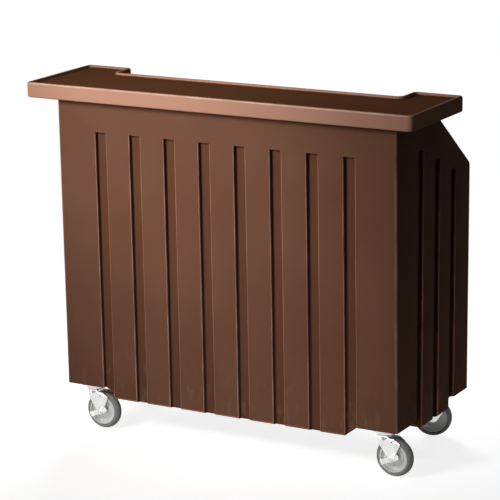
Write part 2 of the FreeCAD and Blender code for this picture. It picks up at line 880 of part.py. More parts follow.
def speed_rail():
    """Folded sheet trough with end plates, a rolled front hem and two hooks."""
    half = rail_length / 2
    back = box(-half, half, rail_front, rail_front + rail_sheet, rail_bottom, rail_top)
    floor = box(-half, half, rail_front, rail_rear, rail_bottom, rail_bottom + rail_sheet)
    front_top = rail_bottom + rail_front_height
    lip = box(-half, half, rail_rear - rail_sheet, rail_rear, rail_bottom, front_top)
    hem = rod(rail_hem_radius, Vector(-half, rail_rear - rail_hem_radius, front_top), ALONG, rail_length)
    profile = (
        (rail_front, rail_bottom, 0), (rail_rear, rail_bottom, 0),
        (rail_rear, front_top, rail_corner_radius / 2),
        (rail_front + rail_depth / 2, front_top, rail_corner_radius),
        (rail_front + rail_sheet, rail_top, 0), (rail_front, rail_top, 0),
    )
    pieces = [back, floor, lip, hem]
    for x in (-half, half - rail_sheet):
        corners = [(Vector(x, y, z), radius) for y, z, radius in profile]
        pieces.append(extrude(corners, ALONG * rail_sheet))
    leg_rear = deck_rear + hanger_sheet + (hanger_channel + rail_sheet) / 2
    leg_front = leg_rear - rail_sheet
    for side in SIDES:
        x_low = side * hook_place_share * half - hook_width / 2
        x_high = x_low + hook_width
        pieces.append(box(x_low, x_high, leg_front, rail_front + rail_sheet, hook_seat, rail_top))
        pieces.append(box(x_low, x_high, leg_front, leg_rear, rail_top - hook_drop, rail_top))
    return fuse(pieces)


# Storage shelf

def storage_shelf(screw_seats):
    rear = deck_front + shelf_depth
    shelf = extrude(plan_in_cavity(deck_gap, rear, shelf_bottom), UP * shelf_thickness)
    nose = edges_where(shelf, lambda e: math.isclose(e.CenterOfMass.y, rear) and
                       math.isclose(e.CenterOfMass.x, 0, abs_tol=running_gap))
    shelf = shelf.makeFillet(shelf_edge_radius, nose)
    return cut(shelf, panel_holes(screw_seats, shelf_thickness))


# Casters, built with the swivel axis on Z and the wheel trailing towards +X

def revolved(profile, centre):
    """Ring about the axle from (radius, offset along the axle) points."""
    points = [centre + Vector(radius, offset, 0) for radius, offset in profile]
    face = Part.Face(Part.makePolygon(points + points[:1]))
    return face.revolve(centre, BACK, 360)


axle_point = Vector(caster_trail, 0, axle_height)
tyre_seat = wheel_radius - tyre_depth


def caster_tyre():
    """Tyre with a crowned tread and a seat that matches the rim."""
    half = tyre_width / 2
    seat_half = half - tyre_seat_inset
    shoulder = wheel_radius - tyre_shoulder_drop
    wall_top = shoulder - tyre_shoulder_inset
    tread_half = half - tyre_shoulder_inset

    def at(radius, offset):
        return axle_point + Vector(radius, offset, 0)

    edges = [
        Part.makeLine(at(tyre_seat, -seat_half), at(tyre_seat, seat_half)),
        Part.makeLine(at(tyre_seat, seat_half), at(wall_top, half)),
        Part.makeLine(at(wall_top, half), at(shoulder, tread_half)),
        Part.Arc(at(shoulder, tread_half), at(wheel_radius, 0), at(shoulder, -tread_half)).toShape(),
        Part.makeLine(at(shoulder, -tread_half), at(wall_top, -half)),
        Part.makeLine(at(wall_top, -half), at(tyre_seat, -seat_half)),
    ]
    return Part.Face(Part.Wire(edges)).revolve(axle_point, BACK, 360)


def caster_wheel():
    """Wheel core: hub, web with a raised ring, and rim with a bright outer ring."""
    bore = sleeve_radius + shaft_clearance
    rim_inner = tyre_seat - rim_thickness
    ring_inner = tyre_seat - rim_ring_width
    side = (
        (bore, hub_length / 2), (hub_radius, hub_length / 2), (hub_radius, web_thickness / 2),
        (web_ring_radius, web_thickness / 2), (web_ring_radius, web_thickness / 2 + web_ring_height),
        (web_ring_radius + web_ring_width, web_thickness / 2 + web_ring_height),
        (web_ring_radius + web_ring_width, web_thickness / 2), (rim_inner, web_thickness / 2),
        (ring_inner, rim_width / 2 + rim_ring_depth), (tyre_seat, rim_width / 2 + rim_ring_depth),
    )
    other = [(radius, -offset) for radius, offset in reversed(side)]
    return revolved(list(side) + other, axle_point)


def caster_fork():
    """Pressed fork: the leg's outline across the whole width, opened between the legs."""
    foot_low = axle_height - fork_foot_radius
    heel_height = fork_top - fork_step
    profile = (
        (-fork_crown_lead, fork_top, fork_corner_radius),
        (fork_crown_tail, fork_top, fork_corner_radius),
        (fork_crown_tail + fork_step, heel_height, fork_corner_radius),
        (fork_heel_reach, heel_height, fork_corner_radius),
        (fork_shoulder_reach, fork_top - fork_shoulder_drop, fork_corner_radius),
        (caster_trail + fork_waist_reach, axle_height + fork_waist_rise, fork_foot_radius),
        (caster_trail + fork_foot_radius, foot_low, fork_foot_radius - fork_sheet),
        (caster_trail - fork_foot_radius, foot_low, fork_foot_radius - fork_sheet),
        (-fork_cheek_reach, fork_top - fork_cheek_drop, fork_foot_radius),
    )
    corners = [(Vector(x, -fork_outside, z), radius) for x, z, radius in profile]
    fork = extrude(corners, BACK * (2 * fork_outside))
    shoulders = edges_where(fork, lambda e: at_height(e, fork_top) and abs(e.CenterOfMass.y) > fork_inside)
    fork = fork.makeFillet(fork_bend_radius, shoulders)
    opening = box(
        -cut_overrun, fork_shoulder_reach + cut_overrun, -fork_inside, fork_inside, -cut_overrun,
        fork_top - fork_sheet,
    )
    across = 2 * (fork_outside + cut_overrun)
    start = -(fork_outside + cut_overrun)
    axle_hole = rod(axle_radius + shaft_clearance, axle_point + BACK * start, BACK, across)
    rivet_place = Vector(fork_hole_reach, start, fork_top - fork_hole_drop)
    rivet_hole = rod(fork_hole_radius, rivet_place, BACK, across)
    king_hole = rod(kingpin_radius + shaft_clearance, UP * (fork_top - cut_overrun), UP, 2 * cut_overrun)
    return cut(fork, [opening, axle_hole, rivet_hole, king_hole])


def caster_axle(nut_start):
    """Axle bolt, its nut on the near side, and the sleeve that the wheel turns on."""
    head_face = axle_point + BACK * fork_outside
    tip = axle_point - BACK * (nut_start + axle_head_height + axle_end_reach)
    shank = rod(axle_radius, tip, BACK, head_face.y - tip.y)
    turned = FreeCAD.Rotation(UP, -BACK)

    def hexagon(start):
        shape = prism(hexagon_sides, axle_head_radius, Vector(0, 0, 0), axle_head_height)
        shape.Placement = FreeCAD.Placement(start, turned)
        return shape

    bolt = shank.fuse(hexagon(head_face + BACK * axle_head_height)).removeSplitter()
    nut_face = axle_point - BACK * nut_start
    nut_hole = rod(axle_radius + shaft_clearance, tip, BACK, head_face.y - tip.y)
    nut = hexagon(nut_face).cut(nut_hole)
    sleeve = rod(sleeve_radius, axle_point - BACK * fork_inside, BACK, 2 * fork_inside)
    return [bolt, nut, sleeve.cut(nut_hole)]


lever_near = fork_outside + running_gap
lever_far = lever_near + lever_sheet + lever_boss_height
plain_nut_start = fork_outside
braked_nut_start = lever_far + running_gap


def brake_lever():
    """Flat lever on the axle outside the near fork leg, with a foot tab turned outwards."""
    lead = -lever_pivot_share * lever_length
    tail = lead + lever_length
    half = lever_width / 2
    end = half - lever_sheet
    plan = ((lead, -half, 0), (tail, -half, end), (tail, half, end), (lead, half, 0))
    corners = [(Vector(x, -lever_near, z), radius) for x, z, radius in plan]
    plate = extrude(corners, -BACK * lever_sheet)
    tab = box(lead, lead + lever_sheet, -lever_near - lever_tab_depth, -lever_near, -half, half)
    boss = rod(lever_boss_radius, Vector(0, -lever_near, 0), -BACK, lever_far - lever_near)
    hole = rod(axle_radius + shaft_clearance, -BACK * cut_overrun, BACK, 2 * cut_overrun)
    lever = cut(fuse([plate, tab, boss]), [hole])
    lever.rotate(Vector(0, 0, 0), BACK, -lever_tilt)
    lever.translate(axle_point)
    return lever


def bolt_places():
    return [
        Vector(x * plate_bolt_width / 2, y * plate_bolt_length / 2, caster_height)
        for x in SIDES for y in SIDES
    ]


def caster_plate():
    """Mounting plate with the upper ball race pressed below it."""
    bottom = caster_height - plate_thickness
    plate = rounded_box(
        -plate_width / 2, plate_width / 2, -plate_length / 2, plate_length / 2,
        bottom, caster_height, plate_corner_radius,
    )
    race = rod(race_radius, UP * (fork_top + race_lip_gap), UP, bottom - fork_top - race_lip_gap)
    groove_outer = race_radius - race_wall
    groove_inner = groove_outer - 2 * (ball_radius + ball_gap)
    groove = rod(groove_outer, UP * fork_top, UP, 2 * (ball_radius + ball_gap))
    groove = groove.cut(rod(groove_inner, UP * fork_top, UP, 2 * (ball_radius + ball_gap)))
    radius = bolt_radius + shaft_clearance
    holes = [rod(radius, place - UP * cut_overrun, UP, 2 * cut_overrun) for place in bolt_places()]
    king_hole = rod(kingpin_radius + shaft_clearance, UP * fork_top, UP, 2 * cut_overrun)
    return cut(plate.fuse(race), [groove, king_hole] + holes)


def swivel_balls():
    centre = UP * (fork_top + ball_radius + ball_gap)
    pitch = race_radius - race_wall - ball_radius - ball_gap
    return [Part.makeSphere(ball_radius, point) for point in ring_of_points(ball_count, pitch, centre)]


def caster_kingpin():
    head_top = fork_top - fork_sheet - ball_gap
    head = rod(kingpin_head_radius, UP * (head_top - kingpin_head_height), UP, kingpin_head_height)
    return head.fuse(rod(kingpin_radius, UP * head_top, UP, caster_height - head_top)).removeSplitter()


def caster_bolts():
    seat = UP * plate_thickness
    bolts = []
    for place in bolt_places():
        head = prism(hexagon_sides, bolt_head_radius, place - seat - UP * bolt_head_height, bolt_head_height)
        bolts.append(head.fuse(rod(bolt_radius, place - seat, UP, bolt_length)).removeSplitter())
    return bolts


def caster_inserts():
    inserts = []
    for place in bolt_places():
        bore = rod(bolt_radius + shaft_clearance, place, UP, insert_length)
        inserts.append(rod(insert_radius, place, UP, insert_length).cut(bore))
    return inserts


def placed(shapes, place, yaw):
    turn = FreeCAD.Placement(place, FreeCAD.Rotation(UP, yaw))
    moved = []
    for shape in shapes:
        copy = shape.copy()
        copy.Placement = turn.multiply(copy.Placement)
        moved.append(copy)
    return moved


front_caster_x = body_half - front_caster_end_inset
rear_caster_x = body_half - rear_caster_end_inset
front_caster_y = body_foot_front + front_caster_inset
rear_caster_y = body_rear - rear_caster_inset
casters = (
    ("front_left", Vector(-front_caster_x, front_caster_y, 0), front_caster_yaw, True),
    ("front_right", Vector(front_caster_x, front_caster_y, 0), front_caster_yaw, True),
    ("rear_left", Vector(-rear_caster_x, rear_caster_y, 0), rear_left_yaw, False),
    ("rear_right", Vector(rear_caster_x, rear_caster_y, 0), rear_right_yaw, False),
)


def save_casters():
    plate = [caster_plate()]
    fork = [caster_fork()]
    wheel = [caster_wheel()]
    tyre = [caster_tyre()]
    lever = [brake_lever()]
    pins = []
    balls = []
    bolts = []
    inserts = []
    for name, place, yaw, braked in casters:
        save(name + "_caster_plate", placed(plate, place, 0))
        save(name + "_caster_fork", placed(fork, place, yaw))
        save(name + "_caster_wheel", placed(wheel, place, yaw))
        save(name + "_caster_tyre", placed(tyre, place, yaw))
        axle = caster_axle(braked_nut_start if braked else plain_nut_start)
        save(name + "_caster_axle", placed(axle, place, yaw))
        if braked:
            save(name + "_brake_lever", placed(lever, place, yaw))
        pins += placed([caster_kingpin()], place, 0)
        balls += placed(swivel_balls(), place, 0)
        bolts += placed(caster_bolts(), place, 0)
        inserts += placed(caster_inserts(), place, 0)
    save("caster_kingpins", pins)
    save("caster_swivel_balls", balls)
    save("caster_bolts", bolts)
    save("caster_inserts", inserts)


def save_all():
    os.makedirs("parts", exist_ok=True)
    brackets, bracket_seats = counter_brackets()
    deck_cleat, deck_wall_seats, deck_places = cleat_pair(deck_bottom, deck_depth)
    shelf_cleat, shelf_wall_seats, shelf_places = cleat_pair(shelf_bottom, shelf_depth)
    deck_seats = [(place + UP * (deck_thickness - panel_screw_sink), -UP) for place in deck_places]
    shelf_seats = [(place + UP * (shelf_thickness - panel_screw_sink), -UP) for place in shelf_places]

    def both_ends(seats):
        other = []
        for seat, direction in seats:
            other.append((Vector(-seat.x, seat.y, seat.z), Vector(-direction.x, direction.y, direction.z)))
        return seats + other

    wall_seats = both_ends(deck_wall_seats) + both_ends(shelf_wall_seats)
    insert_seats = []
    for name, place, yaw, braked in casters:
        insert_seats += [place + point for point in bolt_places()]
    save("counter_top", [counter_top(bracket_seats)])
    save("body_shell", [body_shell(bracket_seats + wall_seats, insert_seats)])
    save("counter_brackets", brackets)
    save("counter_screws", [screw(seat, direction) for seat, direction in bracket_seats])

    track_seats = track_screw_seats(track_front + track_width / 2)
    track_seats += track_screw_seats(track_rear - track_width / 2)
    hanger_seats = []
    for share in hanger_screw_shares:
        place = Vector(share * rail_length / 2, deck_rear + hanger_sheet, deck_height - deck_thickness / 2)
        hanger_seats.append((place, -BACK))
    save("work_deck", [work_deck(hanger_seats + track_seats, both_ends(deck_seats))])
    deck_cleat = cut(deck_cleat, cleat_holes(deck_seats, deck_thickness))
    shelf_cleat = cut(shelf_cleat, cleat_holes(shelf_seats, shelf_thickness))
    save("deck_cleats", [deck_cleat, mirrored(deck_cleat)])
    save("shelf_cleats", [shelf_cleat, mirrored(shelf_cleat)])

    def panel_screws(panel_seats, thickness, cleat_seats):
        length = panel_screw_length(thickness)
        screws = [screw(seat, direction, length) for seat, direction in both_ends(panel_seats)]
        return screws + [screw(seat, direction) for seat, direction in both_ends(cleat_seats)]

    save("deck_screws", panel_screws(deck_seats, deck_thickness, deck_wall_seats))
    save("shelf_screws", panel_screws(shelf_seats, shelf_thickness, shelf_wall_seats))
    save("storage_shelf", [storage_shelf(both_ends(shelf_seats))])

    save("ice_bin", [ice_bin()])
    save("bin_jacket", [bin_jacket()])
    save("drain_strainer", [drain_strainer()])
    save("drain_nut", [drain_nut()])
    save("drain_pipe", [drain_pipe()])
    save("drain_valve_body", [drain_valve_body()])
    save("drain_valve_ball", [drain_valve_ball()])
    save("drain_valve_handle", [drain_valve_handle()])

    well = tub(
        well_inner_x, well_outer_x, well_front, well_rear, well_depth, well_wall, well_flange,
        well_flange_thickness, well_corner_radius,
    )
    save("bottle_well_right", [well])
    save("bottle_well_left", [mirrored(well)])
    save("cover_track_front", [cover_track(track_front, -1)])
    save("cover_track_rear", [cover_track(track_rear, 1)])
    save("track_screws", [screw(seat, direction) for seat, direction in track_seats])
    save("bin_cover_left", [bin_cover(1, -1)])
    save("bin_cover_right", [bin_cover(0, 1)])
    save("speed_rail", [speed_rail()])
    save("speed_rail_hanger", [speed_rail_hanger(hanger_seats)])
    save("hanger_screws", [screw(seat, direction) for seat, direction in hanger_seats])
    save_casters()


save_all()
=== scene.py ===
import json
import math

import bpy
from mathutils import Matrix, Vector

# Looks of a portable serving bar: materials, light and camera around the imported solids
# Lengths are metres in the part's frame, angles are degrees, colours are linear RGB
# A band is a pair of factors between which a tone changes, and a noise is a scale and a detail

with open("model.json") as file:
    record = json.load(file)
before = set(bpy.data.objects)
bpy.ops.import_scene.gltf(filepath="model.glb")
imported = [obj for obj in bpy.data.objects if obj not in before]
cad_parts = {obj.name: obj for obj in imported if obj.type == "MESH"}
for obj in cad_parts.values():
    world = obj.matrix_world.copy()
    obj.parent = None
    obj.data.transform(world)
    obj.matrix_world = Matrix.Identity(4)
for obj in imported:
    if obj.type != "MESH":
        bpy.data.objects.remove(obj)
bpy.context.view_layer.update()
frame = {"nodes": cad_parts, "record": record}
nodes = frame["nodes"]

# Camera at the photograph's viewing angle
camera_azimuth = 28.76
camera_elevation = 14.04
camera_roll = -0.60
camera_distance = 7.388
camera_aim = Vector((0.0828, -0.2184, 0.6914))
camera_lens = 167.2
camera_sensor = 36.0

# Floor and world
floor_size = 120.0
floor_fade = (0.9, 2.6)
floor_lift = 0.82
floor_colour = (0.62, 0.62, 0.62)
ambient_strength = 0.06
background_strength = 1.0
black = (0.0, 0.0, 0.0)
white = (1.0, 1.0, 1.0, 1.0)

# Walls of the body: the front one leans, and is described by its upper edge
wall_top = 1.140
wall_top_front = -0.253
wall_height = 1.014
wall_set_back = 0.015
front_lean = wall_set_back / wall_height
front_plane = wall_top_front + front_lean * wall_top
end_plane = 0.611

# Where the flutes lie in the front wall and in the end walls
front_flutes_reach = 0.52
front_flutes_top = 1.032
end_flutes_middle = 0.055
end_flutes_reach = 0.18

# Painted shade inside the flutes, by depth below the wall, and a painted shadow by height under their upper
# ends
painted_shade_begins = (0.004, 0.009)
painted_shade_eases = (0.0125, 0.0149)
painted_shade_on_bottom = 0.55
painted_shade_ends = (0.017, 0.021)
shade_begins = (0.005, 0.009)
shade_heights = (front_flutes_top - 0.016, front_flutes_top - 0.007)

# Painted highlights on the edges of the flutes and front corners, by depth below the walls
highlight_begins = (0.0002, 0.0008)
highlight_ends = (0.0025, 0.0045)
end_highlight_band = (0.006, 0.020)
end_highlight_level = 0.4
corner_front_band = (0.003, 0.009)
corner_end_band = (0.004, 0.009)
corner_highlight_level = 0.55
highlight_noise = (9.0, 3.0)
highlight_patch_band = (0.35, 0.65)
wall_highlight_levels = (0.45, 1.0)
lip_highlight_levels = (0.35, 1.0)

# Counter surface inside the raised lip, which gets a painted shade, and the lip's outer edge toward the
# guests, which gets a painted highlight
surface_level = 1.182
lip_inner_half = 0.676
lip_inner_front = -0.299
surface_below = (surface_level - 0.003, surface_level - 0.001)
surface_above = (surface_level + 0.001, surface_level + 0.003)
surface_sides = (lip_inner_half, lip_inner_half + 0.004)
surface_front = (lip_inner_front - 0.004, lip_inner_front)
lip_edge_heights = (surface_level + 0.002, surface_level + 0.006)
lip_edge_front = (lip_inner_front - 0.0145, lip_inner_front - 0.0120)

# Moulded plastic: clouds, uneven gloss, pebbled skin, scuffs near the floor
cloud_noise = (3.2, 4.0)
cloud_band = (0.32, 0.70)
gloss_noise = (24.0, 3.0)
gloss_band = (0.3, 0.7)
moulded_roughness = (0.40, 0.52)
pebble_noise = (420.0, 2.0)
pebble_strength = 0.16
pebble_depth = 0.0004
scuff_noise = (38.0, 5.0)
scuff_stretch = (1.0, 1.0, 0.35)
scuff_band = (0.56, 0.74)
scuff_levels = (0.0, 0.35)
scuff_heights = (0.13, 0.34)
scuff_colour = (0.27, 0.17, 0.125)

# Sheet plastic: clouds and fine scratches
sheet_noise = (6.0, 4.0)
sheet_band = (0.35, 0.70)
scratch_noise = (150.0, 3.0)
scratch_stretch = (0.10, 1.0, 1.0)
scratch_band = (0.35, 0.65)
scratch_strength = 0.03
scratch_depth = 0.0002
sheet_sheen = 0.4

# Metal: blotches and streaks
blotch_noise = (26.0, 3.0)
metal_band = (0.3, 0.7)
streak_detail = 4.0
streak_depth = 0.0002

# Tyre rubber: dust, uneven gloss, fine grain
tyre_dark = (0.228, 0.232, 0.224)
tyre_light = (0.318, 0.322, 0.310)
dust_noise = (70.0, 5.0)
dust_band = (0.35, 0.72)
rubber_gloss_noise = (140.0, 3.0)
rubber_roughness = (0.48, 0.68)
rubber_noise = (900.0, 2.0)
rubber_strength = 0.12
rubber_depth = 0.0003
rubber_sheen = 0.12

# Shading of the solids
weld_distance = 0.00002
smooth_angle = 32.0


# Node helpers

class Shader:
    """A new material with its node tree, its surface shader and object coordinates in metres."""

    def __init__(self, name):
        self.material = bpy.data.materials.new(name)
        self.material.use_nodes = True
        self.tree = self.material.node_tree
        self.surface = self.tree.nodes["Principled BSDF"]
        self.place = self.add("ShaderNodeTexCoord").outputs["Object"]

    def add(self, kind, **settings):
        node = self.tree.nodes.new(kind)
        for key, value in settings.items():
            setattr(node, key, value)
        return node

    def link(self, source, target):
        self.tree.links.new(source, target)

    def stretched(self, stretch):
        """Coordinates scaled apart along X, Y and Z, for streaks."""
        mapping = self.add("ShaderNodeMapping")
        mapping.inputs["Scale"].default_value = stretch
        self.link(self.place, mapping.inputs["Vector"])
        return mapping.outputs["Vector"]

    def noise(self, texture, vector=None):
        scale, detail = texture
        node = self.add("ShaderNodeTexNoise")
        node.inputs["Scale"].default_value = scale
        node.inputs["Detail"].default_value = detail
        self.link(vector or self.place, node.inputs["Vector"])
        return node.outputs["Fac"]

    def ramp(self, factor, band, colours):
        """Two-colour ramp across a band of the factor."""
        node = self.add("ShaderNodeValToRGB")
        for element, position, colour in zip(node.color_ramp.elements, band, colours):
            element.position = position
            element.color = (*colour, 1.0)
        self.link(factor, node.inputs["Fac"])
        return node.outputs["Color"]

    def span(self, factor, band, levels):
        """Goes from the first level to the second across a band of the factor."""
        node = self.add("ShaderNodeMapRange")
        for key, value in zip(("From Min", "From Max", "To Min", "To Max"), (*band, *levels)):
            node.inputs[key].default_value = value
        self.link(factor, node.inputs["Value"])
        return node.outputs["Result"]

    def rise(self, factor, band):
        return self.span(factor, band, (0.0, 1.0))

    def fall(self, factor, band):
        return self.span(factor, band, (1.0, 0.0))

    def tint(self, factor, colour, other):
        """The given colour, turned into a fixed other colour where the factor is high."""
        node = self.add("ShaderNodeMix", data_type="RGBA")
        colours = [socket for socket in node.inputs if socket.type == "RGBA"]
        self.link(factor, node.inputs["Factor"])
        self.link(colour, colours[0])
        colours[1].default_value = (*other, 1.0)
        return [socket for socket in node.outputs if socket.type == "RGBA"][0]

    def math(self, operation, *values):
        """A sum, product and so on of outputs or numbers."""
        node = self.add("ShaderNodeMath", operation=operation)
        for socket, value in zip(node.inputs, values):
            if isinstance(value, float):
                socket.default_value = value
            else:
                self.link(value, socket)
        return node.outputs["Value"]

    def multiply(self, first, second):
        return self.math("MULTIPLY", first, second)

    def axis(self, name):
        node = self.add("ShaderNodeSeparateXYZ")
        self.link(self.place, node.inputs["Vector"])
        return node.outputs[name]

    def bump(self, height, strength, distance):
        node = self.add("ShaderNodeBump")
        node.inputs["Strength"].default_value = strength
        node.inputs["Distance"].default_value = distance
        self.link(height, node.inputs["Height"])
        self.link(node.outputs["Normal"], self.surface.inputs["Normal"])

    def drive(self, socket, output):
        """Links an output to a socket of the surface shader."""
        self.link(output, self.surface.inputs[socket])

    def set(self, socket, value):
        self.surface.inputs[socket].default_value = value


# Painted shade and highlights of the body and the counter

def wall_depths(shader):
    """Depths in metres below the leaning front wall and below the end walls."""
    lean = shader.add("ShaderNodeVectorMath", operation="DOT_PRODUCT")
    lean.inputs[1].default_value = (0.0, 1.0, front_lean)
    shader.link(shader.place, lean.inputs[0])
    front = shader.math("SUBTRACT", lean.outputs["Value"], front_plane)
    end = shader.math("SUBTRACT", end_plane, shader.math("ABSOLUTE", shader.axis("X")))
    return front, end


def flute_depth(shader, front, end):
    """Depth below the wall that a flute lies in, large away from the flutes."""
    past_front = shader.math("LESS_THAN", end, end_plane - front_flutes_reach)
    off_middle = shader.math("ABSOLUTE", shader.math("SUBTRACT", shader.axis("Y"), end_flutes_middle))
    past_end = shader.math("GREATER_THAN", off_middle, end_flutes_reach)
    return shader.math("MINIMUM", shader.math("ADD", front, past_front), shader.math("ADD", end, past_end))


def highlight_patches(shader, levels):
    """Uneven strength of a painted edge highlight along its length."""
    return shader.span(shader.noise(highlight_noise), highlight_patch_band, levels)


def flute_shade_and_highlights(shader, colour, shade_colour, highlight_colour):
    """Painted shade inside the flutes, most of all in their corners, and a painted shadow under their upper
    ends, with painted highlights on their edges and the front corners.
    """
    front, end = wall_depths(shader)
    depth = flute_depth(shader, front, end)
    # Painted shade: darker on the flutes' sides and bottoms, and a painted shadow under their upper ends
    sides = shader.multiply(
        shader.rise(depth, painted_shade_begins), shader.span(depth, painted_shade_eases, (1.0, painted_shade_on_bottom))
    )
    upper_end = shader.multiply(
        shader.rise(depth, shade_begins), shader.rise(shader.axis("Z"), shade_heights)
    )
    painted_shade = shader.multiply(shader.math("MAXIMUM", sides, upper_end), shader.fall(depth, painted_shade_ends))
    colour = shader.tint(painted_shade, colour, shade_colour)
    # Painted highlights on the flutes' rounded edges, weaker on the end walls, and on the front corners
    flute_edge = shader.multiply(shader.rise(depth, highlight_begins), shader.fall(depth, highlight_ends))
    flute_edge = shader.multiply(flute_edge, shader.span(front, end_highlight_band, (1.0, end_highlight_level)))
    corner = shader.multiply(
        shader.span(front, corner_front_band, (corner_highlight_level, 0.0)), shader.fall(end, corner_end_band)
    )
    highlight = shader.math("MAXIMUM", flute_edge, corner)
    return shader.tint(shader.multiply(highlight, highlight_patches(shader, wall_highlight_levels)), colour, highlight_colour)


def counter_surface(shader):
    """1 on the sunk surface of the counter, inside its lip."""
    across = shader.math("ABSOLUTE", shader.axis("X"))
    height = shader.axis("Z")
    level = shader.multiply(shader.rise(height, surface_below), shader.fall(height, surface_above))
    plan = shader.multiply(shader.fall(across, surface_sides), shader.rise(shader.axis("Y"), surface_front))
    return shader.multiply(level, plan)


def lip_edge(shader):
    """1 on the rounded outer top edge of the counter's lip, toward the guests, where a highlight is
    painted.
    """
    return shader.multiply(
        shader.rise(shader.axis("Z"), lip_edge_heights), shader.fall(shader.axis("Y"), lip_edge_front)
    )


def counter_shade_and_highlight(shader, colour, surface, highlight_colour):
    """Painted shade on the top inside the lip, with a painted highlight on the lip's front edge."""
    # Painted shade on the top inside the lip
    colour = shader.tint(counter_surface(shader), colour, surface)
    # Painted highlight on the lip's front edge
    highlight = shader.multiply(lip_edge(shader), highlight_patches(shader, lip_highlight_levels))
    return shader.tint(highlight, colour, highlight_colour)


def floor_scuffs(shader, colour):
    """Pale scuffs on what is close to the floor."""
    marks = shader.noise(scuff_noise, shader.stretched(scuff_stretch))
    scuff = shader.multiply(
        shader.span(marks, scuff_band, scuff_levels), shader.fall(shader.axis("Z"), scuff_heights)
    )
    return shader.tint(scuff, colour, scuff_colour)


# Materials

def moulded_plastic(name, dark, light, sheen, shade_colour=None, surface=None, highlight_colour=None):
    """Rotationally moulded polyethylene: pebbled skin and cloudy colour."""
    shader = Shader(name)
    colour = shader.ramp(shader.noise(cloud_noise), cloud_band, (dark, light))
    # Painted shade inside the flutes and painted highlights on their edges and the front corners
    if shade_colour:
        colour = flute_shade_and_highlights(shader, colour, shade_colour, highlight_colour)
    # Painted shade on the counter's top inside the lip and a painted highlight on its front edge
    if surface:
        colour = counter_shade_and_highlight(shader, colour, surface, highlight_colour)
    shader.drive("Base Color", floor_scuffs(shader, colour))
    shader.drive("Roughness", shader.span(shader.noise(gloss_noise), gloss_band, moulded_roughness))
    shader.bump(shader.noise(pebble_noise), pebble_strength, pebble_depth)
    shader.set("Specular IOR Level", sheen)
    return shader.material


def sheet_plastic(name, dark, light, roughness):
    """Smooth pressed or cast plastic with faint scratches and clouding."""
    shader = Shader(name)
    shader.drive("Base Color", shader.ramp(shader.noise(sheet_noise), sheet_band, (dark, light)))
    scratches = shader.noise(scratch_noise, shader.stretched(scratch_stretch))
    shader.drive("Roughness", shader.span(scratches, scratch_band, roughness))
    shader.bump(scratches, scratch_strength, scratch_depth)
    shader.set("Specular IOR Level", sheet_sheen)
    return shader.material


def metal(name, dark, light, roughness, stretch, grain, relief):
    """Plated, brushed or machined metal with streaks along the stretched direction."""
    shader = Shader(name)
    shader.drive("Base Color", shader.ramp(shader.noise(blotch_noise), metal_band, (dark, light)))
    streaks = shader.noise((grain, streak_detail), shader.stretched(stretch))
    shader.drive("Roughness", shader.span(streaks, metal_band, roughness))
    shader.bump(streaks, relief, streak_depth)
    shader.set("Metallic", 1.0)
    return shader.material


def tyre_rubber(name):
    """Grey non-marking rubber, dusty in patches."""
    shader = Shader(name)
    shader.drive("Base Color", shader.ramp(shader.noise(dust_noise), dust_band, (tyre_dark, tyre_light)))
    shader.drive("Roughness", shader.span(shader.noise(rubber_gloss_noise), gloss_band, rubber_roughness))
    shader.bump(shader.noise(rubber_noise), rubber_strength, rubber_depth)
    shader.set("Specular IOR Level", rubber_sheen)
    return shader.material


